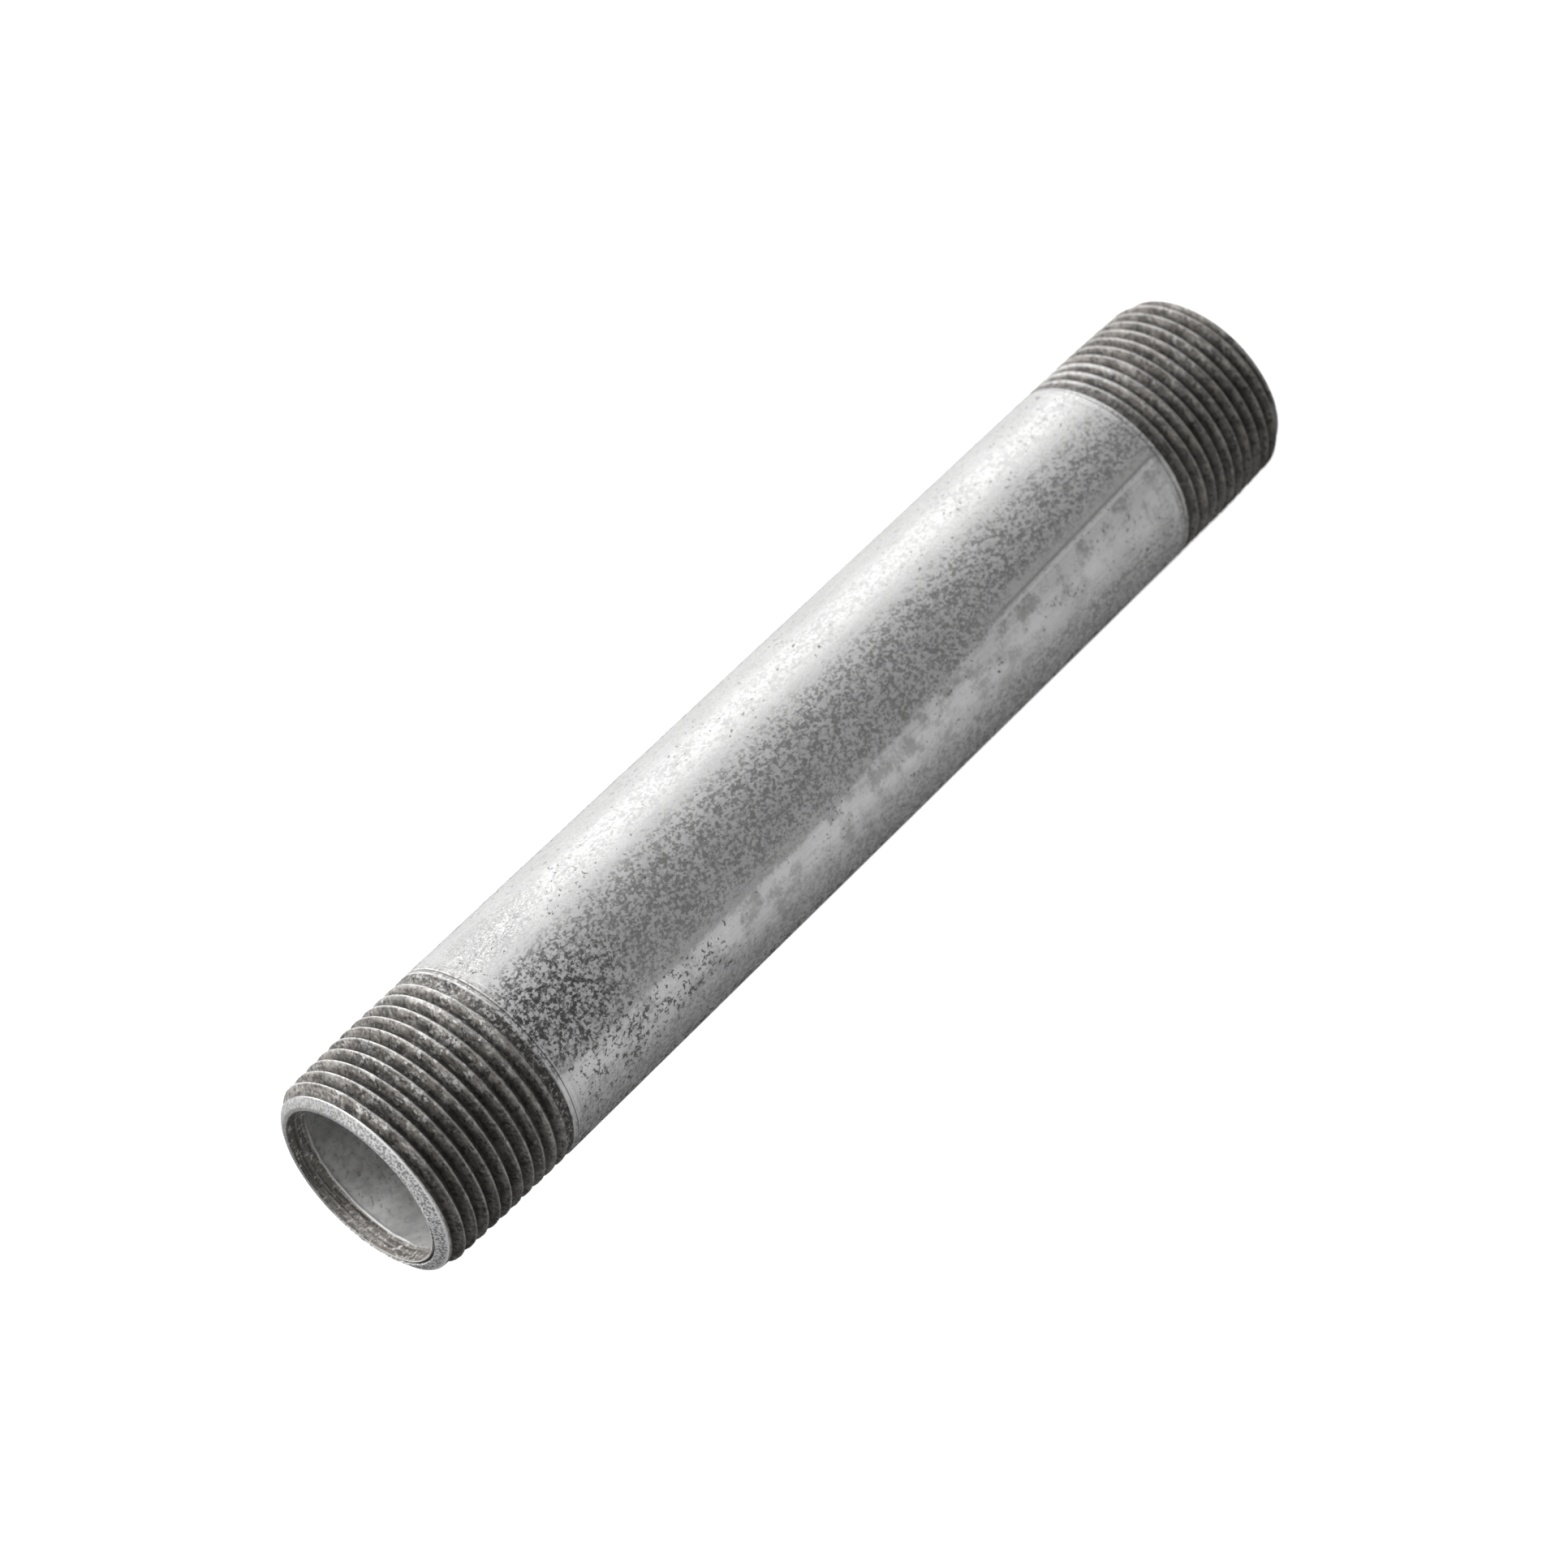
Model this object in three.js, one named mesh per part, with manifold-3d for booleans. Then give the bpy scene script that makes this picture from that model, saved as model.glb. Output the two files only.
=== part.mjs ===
// A threaded pipe nipple: one length of galvanised 3/4 in Schedule 40 steel pipe, 6 in long, with
// a right-hand 3/4-14 NPT taper pipe thread on each end. Millimetres. The pipe lies along X with
// its middle at the origin, and +Z is up.
//
// "Depth" below is the distance from an end face, measured along the pipe towards its middle.

import * as THREE from 'three';
import { mergeVertices } from 'three/addons/utils/BufferGeometryUtils.js';
import Module from 'manifold-3d';

const INCH = 25.4;

// Pipe
const LENGTH = 6 * INCH;
const OUTER_RADIUS = ( 1.05 / 2 ) * INCH;
const WALL = 0.113 * INCH;
const BORE_RADIUS = OUTER_RADIUS - WALL;

// Thread: 60 degree flanks on a cone that opens 1 in 16 on the diameter
const PITCH = INCH / 14;
const TAPER = 1 / 32;
const THREAD_HEIGHT = 0.8 * PITCH;
const ROOT_FLAT = 0.038 * PITCH;
const FLANK_SLOPE = Math.tan( Math.PI / 6 );
const PITCH_RADIUS_AT_END = ( 0.96768 / 2 ) * INCH;
const ROOT_RADIUS_AT_END = PITCH_RADIUS_AT_END - THREAD_HEIGHT / 2;
const CREST_RADIUS_AT_END = PITCH_RADIUS_AT_END + THREAD_HEIGHT / 2;

// The mouth of the die is chamfered, so the floor of the last turn climbs to the pipe's surface
const RUNOUT_START = 18.4;
const RUNOUT_END = 20.2;

// End of the pipe: a counterbore left by the reamer, a flat land, a bevel and a low first thread
const REAM_RADIUS = 10.64;
const REAM_FLOOR_RADIUS = 10.6;
const REAM_DEPTH = 2.3;
const REAM_STEP = 0.15;
const LAND_RADIUS = 11.2;
const BEVEL_RADIUS = 12.51;
const BEVEL_DEPTH = 0.8;
const LEAD_RADIUS = 12.6;
const LEAD_DEPTH = 1.6;
const LEAD_STEP = 0.4;

// Facets round the pipe. The thread cutter uses the same ones, so facets meet edge to edge.
const SEGMENTS = 32;

// The thread cutter starts off the end of the pipe and stops just after it has left the surface.
// Its flanks rise a little past the crests, to a shoulder, and its sides go straight up from there.
const CUTTER_START = - 0.95;
const CUTTER_OVERRUN = 0.1;
const SHOULDER_OVER_CREST = 0.03;
const TOP_OVER_CREST = 1;

// The far thread starts this many facets further round than a half turn about Z would put it.
const FAR_THREAD_FACETS = 5;

const crestRadius = ( depth ) => CREST_RADIUS_AT_END + TAPER * depth;
const rootRadius = ( depth ) => ROOT_RADIUS_AT_END + TAPER * depth;

// How far the thread's floor stands above the root cone.
function floorClimb( depth ) {

	const share = Math.max( 0, ( depth - RUNOUT_START ) / ( RUNOUT_END - RUNOUT_START ) );

	return share * ( OUTER_RADIUS - rootRadius( RUNOUT_END ) );

}

// Half of the pipe's section, as [ radius, depth ] from the bore round to the outside.
function endProfile() {

	const leadEnd = LEAD_DEPTH + LEAD_STEP;
	const fullDiameterDepth = ( OUTER_RADIUS - CREST_RADIUS_AT_END ) / TAPER;

	return [
		[ BORE_RADIUS, REAM_DEPTH + REAM_STEP ],
		[ REAM_FLOOR_RADIUS, REAM_DEPTH ],
		[ REAM_RADIUS, 0 ],
		[ LAND_RADIUS, 0 ],
		[ BEVEL_RADIUS, BEVEL_DEPTH ],
		[ LEAD_RADIUS, LEAD_DEPTH ],
		[ crestRadius( leadEnd ), leadEnd ],
		[ OUTER_RADIUS, fullDiameterDepth ]
	];

}

// The pipe before threading, turned about X.
function blankGeometry() {

	const section = endProfile();
	const nearEnd = section.map( ( [ radius, depth ] ) => new THREE.Vector2( radius, depth - LENGTH / 2 ) );
	const farEnd = nearEnd.map( ( point ) => new THREE.Vector2( point.x, - point.y ) ).reverse();
	const profile = [ ...nearEnd, ...farEnd, nearEnd[ 0 ] ];

	return new THREE.LatheGeometry( profile, SEGMENTS ).rotateZ( - Math.PI / 2 );

}

// One groove's section: x along the pipe from the groove's middle, y outwards from its root.
function grooveShape() {

	const rootHalf = ROOT_FLAT / 2;
	const shoulder = THREAD_HEIGHT + SHOULDER_OVER_CREST;
	const shoulderHalf = rootHalf + shoulder * FLANK_SLOPE;
	const top = THREAD_HEIGHT + TOP_OVER_CREST;

	return new THREE.Shape( [
		new THREE.Vector2( - rootHalf, 0 ),
		new THREE.Vector2( rootHalf, 0 ),
		new THREE.Vector2( shoulderHalf, shoulder ),
		new THREE.Vector2( shoulderHalf, top ),
		new THREE.Vector2( - shoulderHalf, top ),
		new THREE.Vector2( - shoulderHalf, shoulder )
	] );

}

// The thread of the near (-X) end as a solid: the groove's section, extruded straight, one step
// to each facet of the pipe, and then wound round X as a right-hand helix.
function threadCutterGeometry() {

	const length = RUNOUT_END + CUTTER_OVERRUN - CUTTER_START;
	const steps = Math.ceil( length / PITCH * SEGMENTS );
	const cutter = new THREE.ExtrudeGeometry( grooveShape(), { depth: steps, steps, bevelEnabled: false } );
	const position = cutter.getAttribute( 'position' );

	for ( let i = 0; i < position.count; i ++ ) {

		const turns = position.getZ( i ) / SEGMENTS;
		const middle = CUTTER_START + turns * PITCH;

		// Where the floor climbs, it widens too, because the flanks stay where they are.
		const height = Math.max( position.getY( i ), floorClimb( middle ) );
		const floorLift = height - position.getY( i );
		const along = position.getX( i ) + Math.sign( position.getX( i ) ) * floorLift * FLANK_SLOPE;

		const x = middle + along - LENGTH / 2;
		const radius = rootRadius( middle ) + height;
		const angle = turns * 2 * Math.PI;
		position.setXYZ( i, x, radius * Math.cos( angle ), radius * Math.sin( angle ) );

	}

	return cutter;

}

const wasm = await Module();
wasm.setup();

function toSolid( geometry ) {

	const bare = new THREE.BufferGeometry();
	bare.setAttribute( 'position', geometry.getAttribute( 'position' ) );
	bare.setIndex( geometry.index );
	const merged = mergeVertices( bare );
	const vertProperties = merged.getAttribute( 'position' ).array;
	const triVerts = new Uint32Array( merged.index.array );

	return new wasm.Manifold( new wasm.Mesh( { numProp: 3, vertProperties, triVerts } ) );

}

function toGeometry( solid ) {

	const mesh = solid.getMesh();
	const geometry = new THREE.BufferGeometry();
	geometry.setAttribute( 'position', new THREE.BufferAttribute( mesh.vertProperties, mesh.numProp ) );
	geometry.setIndex( new THREE.BufferAttribute( mesh.triVerts, 1 ) );
	geometry.computeVertexNormals();

	return geometry;

}

// A half turn about a line across the pipe takes one end's thread to the other and keeps its hand.
const nearCutter = threadCutterGeometry();
const farCutter = nearCutter.clone()
	.rotateZ( Math.PI )
	.rotateX( FAR_THREAD_FACETS / SEGMENTS * 2 * Math.PI );

const nippleSolid = toSolid( blankGeometry() )
	.subtract( toSolid( nearCutter ) )
	.subtract( toSolid( farCutter ) );

const galvanisedSteel = new THREE.MeshStandardMaterial( { color: 0xb2b4b5, roughness: 0.38, metalness: 0.9 } );

const nipple = new THREE.Mesh( toGeometry( nippleSolid ), galvanisedSteel );
nipple.name = 'pipe_nipple';

const threadedPipeNipple = new THREE.Group();
threadedPipeNipple.add( nipple );

export default threadedPipeNipple;
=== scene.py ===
"""A threaded pipe nipple: galvanised steel pipe with a taper pipe thread on each end.

The CAD part gives the frame. One visual mesh stands for it, with worn threads cut through the
zinc to bare steel, a reamed mouth with a burr, mottled zinc on the barrel and a faint weld seam.

Lengths in the mesh code are millimetres. "Depth" is the distance from an end face towards the
middle of the pipe, and "turn" is the angle round the pipe, from +Y towards +Z, in degrees.
The far end is the near end turned half round about a line across the pipe, so each end has its
own depth and turn, and both are right-hand threads.

In the material, `along` is metres along the pipe from its middle, towards +X, and `around` is
degrees round it from FRONT_TURN, the line of the pipe that faces the camera.
"""

import math

import bpy
import numpy as np
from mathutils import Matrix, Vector


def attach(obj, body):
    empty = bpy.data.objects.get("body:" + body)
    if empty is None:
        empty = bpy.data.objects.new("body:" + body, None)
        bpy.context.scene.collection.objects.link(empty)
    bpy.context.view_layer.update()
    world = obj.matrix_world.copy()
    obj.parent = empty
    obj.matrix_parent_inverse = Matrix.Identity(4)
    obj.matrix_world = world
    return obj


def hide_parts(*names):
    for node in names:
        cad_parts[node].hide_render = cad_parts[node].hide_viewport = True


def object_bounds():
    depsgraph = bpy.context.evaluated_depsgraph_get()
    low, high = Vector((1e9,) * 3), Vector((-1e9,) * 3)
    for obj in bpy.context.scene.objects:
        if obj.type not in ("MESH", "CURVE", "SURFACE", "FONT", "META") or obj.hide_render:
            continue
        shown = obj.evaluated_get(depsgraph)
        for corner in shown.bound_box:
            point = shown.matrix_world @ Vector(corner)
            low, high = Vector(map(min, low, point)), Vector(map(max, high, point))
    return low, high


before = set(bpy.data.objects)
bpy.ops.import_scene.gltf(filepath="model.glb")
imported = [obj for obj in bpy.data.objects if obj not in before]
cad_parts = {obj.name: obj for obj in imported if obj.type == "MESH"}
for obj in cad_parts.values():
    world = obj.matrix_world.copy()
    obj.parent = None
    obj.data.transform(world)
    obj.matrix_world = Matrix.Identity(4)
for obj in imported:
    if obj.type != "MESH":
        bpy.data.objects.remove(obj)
CAD_BOX = [list(corner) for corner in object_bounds()]

MM = 0.001
LENGTH = (CAD_BOX[1][0] - CAD_BOX[0][0]) / MM
OUTER_RADIUS = (CAD_BOX[1][2] - CAD_BOX[0][2]) / 2 / MM
FLOOR_Z = CAD_BOX[0][2]

# Thread
PITCH = 25.4 / 14
TAPER = 1 / 32
ROOT_AT_END = 11.564
CREST_AT_END = 13.015
THREAD_HEIGHT = CREST_AT_END - ROOT_AT_END
ROOT_HALF = 0.03 * PITCH
CREST_HALF = 0.045 * PITCH
FLANK_SLOPE = THREAD_HEIGHT / (PITCH / 2 - CREST_HALF - ROOT_HALF)
GROOVE_START = 0.864
RUNOUT_START = 18.3
RUNOUT_END = 20.3

# The far end's grid runs the other way round: its turn t stands at FAR_TURN - t on the pipe
FAR_TURN = 236.25

# End of the pipe
BORE_RADIUS = OUTER_RADIUS - 0.113 * 25.4
REAM_RADIUS = 10.64
LAND_RADIUS = 11.2
BEVEL_RADIUS = 12.51
BEVEL_DEPTH = 0.8
LEAD_RADIUS = 12.6
LEAD_DEPTH = 1.6
LEAD_STEP = 0.4

# Rows and columns of the mesh. The thread's rows are shares of a pitch from a groove's middle.
COLUMNS = 216
FIRST_TURN = FAR_TURN / 2 - 180
ROW_OFFSETS = (-0.455, -0.4, -0.29, -0.17, -0.06, 0, 0.06, 0.17, 0.29, 0.4, 0.455, 0.5)
THREAD_ZONE_END = 20.9
DIE_RINGS = (20.95, 21.03, 21.08, 21.3, 21.8, 22.3)
BARREL_START = 24
BARREL_RINGS = 22
BORE_END = 3.3
BORE_RINGS = 12

# Texture: the outside and the inside are two bands, and the two halves meet in the middle of each.
# The mouth is seen closest of the inside, so it gets more of that band than its length.
TEXTURE_EDGE = 0.004
OUTSIDE_BAND = (0.005, 0.845)
INSIDE_BAND = (0.86, 0.995)
MOUTH_STRETCH = 4.0

# Marks round each end, by turn
BURR_MIDDLE = 298
BURR_HALF_WIDTH = 62
LIP_MIDDLE = 226
LIP_HALF_WIDTH = 75
RUB_MIDDLE = 50
RUB_HALF_WIDTH = 75

# One spot of the second ridge was pressed flat
PRESSED_TURN = 91
PRESSED_HALF_WIDTH = 14
PRESSED_DEPTH = 2.35
PRESSED_LENGTH = 0.35
PRESSED_BY = 0.22

# The threads' crests carry polish and a painted highlight, strongest on the side of the pipe
# towards the light
CREST_LIGHT_MIDDLE = 30
CREST_LIGHT_HALF_WIDTH = 100

# The die left a scored line, a rubbed band and two bright scratches past the thread
SCORED = (20.92, 21.05)
SCORE_DEPTH = 0.08
RUBBED = (20.4, 21.6)
SCRATCHED_AT = (20.5, 21.18)

FRONT_TURN = 116.15

# Weld seam: degrees around at mid-pipe, degrees it winds per millimetre towards +X, and size
SEAM_MIDDLE = 19.9
SEAM_WIND = -0.142
SEAM_HALF_WIDTH = 0.35
SEAM_HEIGHT = 0.1

# Patches of the barrel: depth from the -X end, half length, degrees around, half width in degrees
DARK_PATCH = (25, 10, 3, 27)
PITTED_PATCH = (33, 16, 45, 20)
CRACKED_PATCH = (27, 8, -50, 16)

SEED = 7


# ---------------------------------------------------------------- shares and noise for the mesh

def smoothstep(t):
    return t * t * (3 - 2 * t)


def between(value, low, high):
    return (value > low) & (value < high)


def ramp(value, zero, one):
    """0 up to `zero`, 1 from `one` on, and straight between them, in either direction."""
    return np.clip((value - zero) / (one - zero), 0, 1)


def turned_past(turn, middle):
    """Degrees past `middle`, from -180 to 180."""
    return (turn - middle + 180) % 360 - 180


def bump_at(turn, middle, half_width):
    """A smooth bump of height 1 at a turn."""
    return smoothstep(np.clip(1 - np.abs(turned_past(turn, middle)) / half_width, 0, 1))


def value_noise(rng, x, turn, cell, around):
    """Smooth noise in -1..1: cells of `cell` mm along the pipe, `around` of them round it."""
    lattice = rng.uniform(-1, 1, (int(LENGTH / cell) + 4, around))
    u = (x + LENGTH / 2) / cell + 1
    v = (turn % 360) / 360 * around
    u0 = np.clip(np.floor(u).astype(int), 0, len(lattice) - 2)
    v0 = np.floor(v).astype(int) % around
    v1 = (v0 + 1) % around
    along_share = smoothstep(np.clip(u - u0, 0, 1))
    around_share = smoothstep(v - np.floor(v))
    low = lattice[u0, v0] * (1 - around_share) + lattice[u0, v1] * around_share
    high = lattice[u0 + 1, v0] * (1 - around_share) + lattice[u0 + 1, v1] * around_share
    return low * (1 - along_share) + high * along_share


# ---------------------------------------------------------------- the section of the pipe

def blank_radius(depth):
    """Radius of the bevelled, tapered end before threading."""
    crest = np.minimum(CREST_AT_END + TAPER * depth, OUTER_RADIUS)
    bevel = LAND_RADIUS + (BEVEL_RADIUS - LAND_RADIUS) * depth / BEVEL_DEPTH
    lead = BEVEL_RADIUS + (LEAD_RADIUS - BEVEL_RADIUS) * ramp(depth, BEVEL_DEPTH, LEAD_DEPTH)
    lead = lead + ramp(depth, LEAD_DEPTH, LEAD_DEPTH + LEAD_STEP) * (crest - LEAD_RADIUS)
    return np.where(depth < BEVEL_DEPTH, bevel, np.minimum(lead, crest))


def groove_radius(depth, turn):
    """Radius of the thread's V at this place, whatever the blank is."""
    start = GROOVE_START + PITCH * turn / 360
    middle = start + PITCH * np.round((depth - start) / PITCH)
    root = ROOT_AT_END + TAPER * middle
    wall = np.maximum(np.abs(depth - middle) - ROOT_HALF, 0) * FLANK_SLOPE
    climb = np.clip((middle - RUNOUT_START) / (RUNOUT_END - RUNOUT_START), 0, None)
    floor = climb * (OUTER_RADIUS - ROOT_AT_END - TAPER * RUNOUT_END)
    return root + np.maximum(wall, floor)


def thread_rows():
    """Depth of each thread row at FIRST_TURN. The rows follow the helix."""
    start = GROOVE_START + PITCH * FIRST_TURN / 360
    last = int((THREAD_ZONE_END - start) / PITCH) + 1
    rows = [start + PITCH * (k + offset) for k in range(-1, last + 1) for offset in ROW_OFFSETS]
    return np.array([r for r in rows if r < THREAD_ZONE_END + 0.1])


def face_rings():
    """Rings from the middle of the bore out to the bevel's edge, as [radius, depth]."""
    bore = [[BORE_RADIUS, d] for d in np.linspace(LENGTH / 2, BORE_END, BORE_RINGS)]
    burr = [[BORE_RADIUS, 2.95], [BORE_RADIUS - 0.02, 2.74], [BORE_RADIUS - 0.12, 2.62],
            [BORE_RADIUS - 0.14, 2.53], [BORE_RADIUS + 0.02, 2.45], [REAM_RADIUS - 0.04, 2.39]]
    ream = [[REAM_RADIUS - 0.03, 2.1], [REAM_RADIUS - 0.02, 1.6], [REAM_RADIUS - 0.01, 1.1],
            [REAM_RADIUS, 0.6], [REAM_RADIUS, 0.22], [REAM_RADIUS + 0.01, 0.07]]
    lip = [[REAM_RADIUS + 0.03, 0.015], [REAM_RADIUS + 0.13, 0.0]]
    shaded_gap = [[REAM_RADIUS + 0.15, 0.0], [REAM_RADIUS + 0.41, 0.0]]
    land = [[REAM_RADIUS + 0.44, 0.0], [LAND_RADIUS - 0.1, 0.0], [LAND_RADIUS - 0.02, 0.012]]
    width = BEVEL_RADIUS - LAND_RADIUS
    bevel = [[LAND_RADIUS + width * s, BEVEL_DEPTH * s] for s in (0.05, 0.25, 0.5, 0.75, 0.92)]
    corner = [[BEVEL_RADIUS - 0.03, BEVEL_DEPTH - 0.05]]
    return bore, burr, ream, lip + shaded_gap + land + bevel + corner


class End:
    """One half of the pipe as a grid of rows and columns, from mid-bore to mid-barrel."""

    def __init__(self, far):
        self.far = far
        bore, burr, ream, face = face_rings()
        rings = np.array(bore + burr + ream + face)
        threads = thread_rows()
        barrel = np.concatenate([DIE_RINGS, np.linspace(BARREL_START, LENGTH / 2, BARREL_RINGS)])
        self.burr_start = len(bore)
        self.burr_end = self.burr_start + len(burr)
        self.mouth_row = self.burr_end + len(ream)
        self.thread_start = len(rings)
        self.barrel_start = self.thread_start + len(threads)
        self.rows = self.barrel_start + len(barrel)

        self.row, column = np.indices((self.rows, COLUMNS))
        self.turn = FIRST_TURN + 360 * column / COLUMNS
        helix = threads[:, None] + PITCH * column[0] / COLUMNS
        self.depth = np.concatenate([
            np.tile(rings[:, 1:], COLUMNS),
            np.clip(helix, BEVEL_DEPTH, THREAD_ZONE_END),
            np.tile(barrel[:, None], COLUMNS)])
        self.blank = blank_radius(self.depth)
        self.blank[:self.thread_start] = rings[:, :1]
        self.groove = groove_radius(self.depth, self.turn)
        turns = (self.depth - GROOVE_START) / PITCH - self.turn / 360
        self.past_groove = turns - np.round(turns)

        self.outside = self.row >= self.mouth_row
        self.in_burr = (self.row >= self.burr_start) & (self.row < self.burr_end)
        self.in_thread = (self.row >= self.thread_start) & (self.row < self.barrel_start)

    def place(self):
        """Place along and round the pipe in the part's frame."""
        if self.far:
            return LENGTH / 2 - self.depth, FAR_TURN - self.turn
        return self.depth - LENGTH / 2, self.turn

    def alias(self):
        """Number of the vertex that stands for each grid place, after clamping the helix."""
        number = np.arange(self.rows * COLUMNS).reshape(self.rows, COLUMNS)
        a, b = self.thread_start, self.barrel_start
        low = self.depth[a:b] <= BEVEL_DEPTH
        high = self.depth[a:b] >= THREAD_ZONE_END
        number[a:b] = np.where(low, number[a][None], number[a:b])
        number[a:b] = np.where(high, number[b - 1][None], number[a:b])
        return number

    def after_seam(self, row):
        """Row that a row runs on into after a whole turn."""
        if self.thread_start <= row < self.barrel_start:
            return min(row + len(ROW_OFFSETS), self.barrel_start - 1)
        return row


# ---------------------------------------------------------------- wear and its masks

def end_noise(end, rng):
    """The noises that make one end uneven."""
    x, turn = end.place()
    mid_pipe = np.zeros_like(x)
    return {
        "fine": value_noise(rng, x, turn, 0.7, 150),
        "coarse": value_noise(rng, x, turn, 3.1, 24),
        "wave": value_noise(rng, x, turn, 9.0, 9),
        "wander": value_noise(rng, mid_pipe, turn, 50, 11),
        "ripple": value_noise(rng, mid_pipe, turn, 50, 60),
    }


def thread_wear(end, noise, level):
    """Radius that wear adds: crests a little worn, flanks torn, one spot pressed flat."""
    crest = end.in_thread & (level < 0.06) & between(end.depth, 1.2, RUNOUT_END)
    worn = np.clip(0.035 + 0.03 * noise["coarse"] + 0.03 * noise["fine"], 0, None)
    flank = end.in_thread & (level > 0.15)
    ridge = end.in_thread & (level < 0.3)
    pressed = np.exp(-((end.depth - PRESSED_DEPTH) / PRESSED_LENGTH) ** 2)
    pressed = pressed * bump_at(end.turn, PRESSED_TURN, PRESSED_HALF_WIDTH)
    return 0.018 * noise["fine"] * flank - worn * crest - PRESSED_BY * pressed * ridge


def zinc_unevenness(end, noise):
    """Radius that the uneven zinc coat adds on the barrel and in the bore."""
    barrel = end.outside & (end.depth > RUNOUT_END)
    bore = end.row < end.burr_start
    on_barrel = 0.012 + 0.005 * noise["coarse"] + 0.007 * noise["wave"]
    in_bore = 0.04 + 0.03 * noise["coarse"] + 0.02 * noise["wave"]
    return -on_barrel * barrel - in_bore * bore


def burr_wholeness(end, noise):
    """1 where the reamer's burr is whole, 0 where it is missing."""
    past = np.abs(turned_past(end.turn, BURR_MIDDLE))
    whole = smoothstep(np.clip(4 - 4 * past / BURR_HALF_WIDTH, 0, 1))
    return whole * np.clip(0.8 + 0.4 * noise["ripple"], 0, 1)


def burr_wander(end, noise):
    """Depth that the reamer's inner edge is off by; it leans and wanders."""
    lean = np.clip(turned_past(end.turn, BURR_MIDDLE) / BURR_HALF_WIDTH, -1, 1)
    return (0.25 * lean + 0.1 * noise["wander"] + 0.05 * noise["ripple"]) * end.in_burr


def lip_and_shaded_gap(end):
    """Masks of the lip folded up on part of the mouth's edge, and of the gap behind it, painted
    near-black as its shadow.

    The lip is the reamed band's last row and the two after it, and the gap is the next two.
    """
    share = np.clip(1.6 * bump_at(end.turn, LIP_MIDDLE, LIP_HALF_WIDTH), 0, 1)
    past_mouth = end.row - end.mouth_row
    return share * between(past_mouth, -2, 2), share * between(past_mouth, 1, 4)


def crest_polish_and_highlight(end, level):
    """Polish and painted highlight on the threads' crests, strongest on their far sides towards the
    light, and a painted highlight on the bevel's edge.
    """
    _, turn = end.place()
    lit_side = bump_at(turn, CREST_LIGHT_MIDDLE, CREST_LIGHT_HALF_WIDTH)
    crest = end.in_thread & (level < 0.03) & between(end.depth, 1.9, RUNOUT_START + 1.1)
    off_groove = np.abs(end.past_groove)
    sides = np.where(end.past_groove < 0, lit_side, 0.3)
    crest = crest * np.where(off_groove > 0.47, 1.0, sides) * (0.5 + 0.5 * lit_side)
    # The last ridges are broad, and their polish and painted highlight lie only along their middles
    broad = (end.depth > 17.6) & (off_groove < 0.4)
    crest = np.where(broad, 0.15 * crest, crest)
    # Painted highlight along the bevel's edge
    bevel_rows = between(end.row - end.thread_start, -3, 1)
    bevel_edge_highlight = bevel_rows | (end.in_thread & (end.depth < BEVEL_DEPTH + 0.15))
    return np.maximum(crest, bevel_edge_highlight)


def rub_mask(end):
    """The band past the thread that the die rubbed through the zinc."""
    rub = np.clip(1.8 * bump_at(end.turn, RUB_MIDDLE, RUB_HALF_WIDTH), 0, 1)
    return rub * end.outside * between(end.depth, *RUBBED)


def shape(end, rng):
    """Radius and depth of every place on one end, worn and slightly uneven, and its masks."""
    noise = end_noise(end, rng)
    cut = end.outside & (end.groove < end.blank)
    radius = np.where(cut, end.groove, end.blank)
    level = np.clip((end.blank - radius) / THREAD_HEIGHT, 0, 1)
    whole = burr_wholeness(end, noise)
    lip, shaded_gap = lip_and_shaded_gap(end)
    shaded_score = end.outside & between(end.depth, *SCORED)

    radius = radius + thread_wear(end, noise, level) + zinc_unevenness(end, noise)
    radius += np.clip(BORE_RADIUS - end.blank, 0, None) * (1 - whole)
    radius -= (0.06 + 0.03 * noise["fine"]) * lip + SCORE_DEPTH * shaded_score
    radius = np.minimum(radius, OUTER_RADIUS)
    depth = end.depth + burr_wander(end, noise) + 0.35 * shaded_gap
    masks = {
        # crest: polish and painted highlight on the thread crests and the bevel's edge
        "crest": crest_polish_and_highlight(end, level),
        "groove": level * end.in_thread,
        "cut": end.in_thread * np.clip(level / 0.05 + (end.depth < RUNOUT_END), 0, 1),
        "runout": end.outside * ramp(end.depth, 18.8, 19.1) * ramp(end.depth, 20.45, 20.3),
        "die": end.outside * ramp(end.depth, 20.2, 20.5) * ramp(end.depth, 22.3, 21.8),
        "shaded_score": shaded_score,
        "rub": rub_mask(end),
        "face": end.outside & (end.row < end.thread_start),
        "ream": (end.row >= end.burr_end - 1) & (end.row < end.mouth_row),
        "bore": end.row < end.burr_end - 1,
        "burr": np.exp(-((end.row - end.burr_start - 2.5) / 1.2) ** 2) * whole,
        "lip": lip,
        "shaded_gap": shaded_gap,
        "worn": np.exp(-np.clip(end.depth - RUNOUT_END, 0, None) / 9.0),
    }
    return radius, depth, masks


# ---------------------------------------------------------------- the mesh

def texture_shares(end, radius, depth):
    """How far along its band of the texture each row is: for the outside and for the inside."""
    middle = COLUMNS // 2
    step = np.hypot(np.diff(radius[:, middle]), np.diff(depth[:, middle]))
    step[end.burr_start - 1:end.mouth_row] *= MOUTH_STRETCH
    along = np.concatenate([[0], np.cumsum(step)])
    mouth = along[end.mouth_row]
    return (along - mouth) / (along[-1] - mouth), along / mouth


def texture_place(far, outside, outer, inner, row, column):
    """Corner in the texture. The two halves meet in the middle of it."""
    along, band = (outer[row], OUTSIDE_BAND) if outside else (1 - inner[row], INSIDE_BAND)
    round_share = column / COLUMNS
    u = TEXTURE_EDGE + (0.5 - TEXTURE_EDGE) * along
    if far:
        u, round_share = 1 - u, 1 - round_share
    return u, band[0] + (band[1] - band[0]) * round_share


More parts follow.
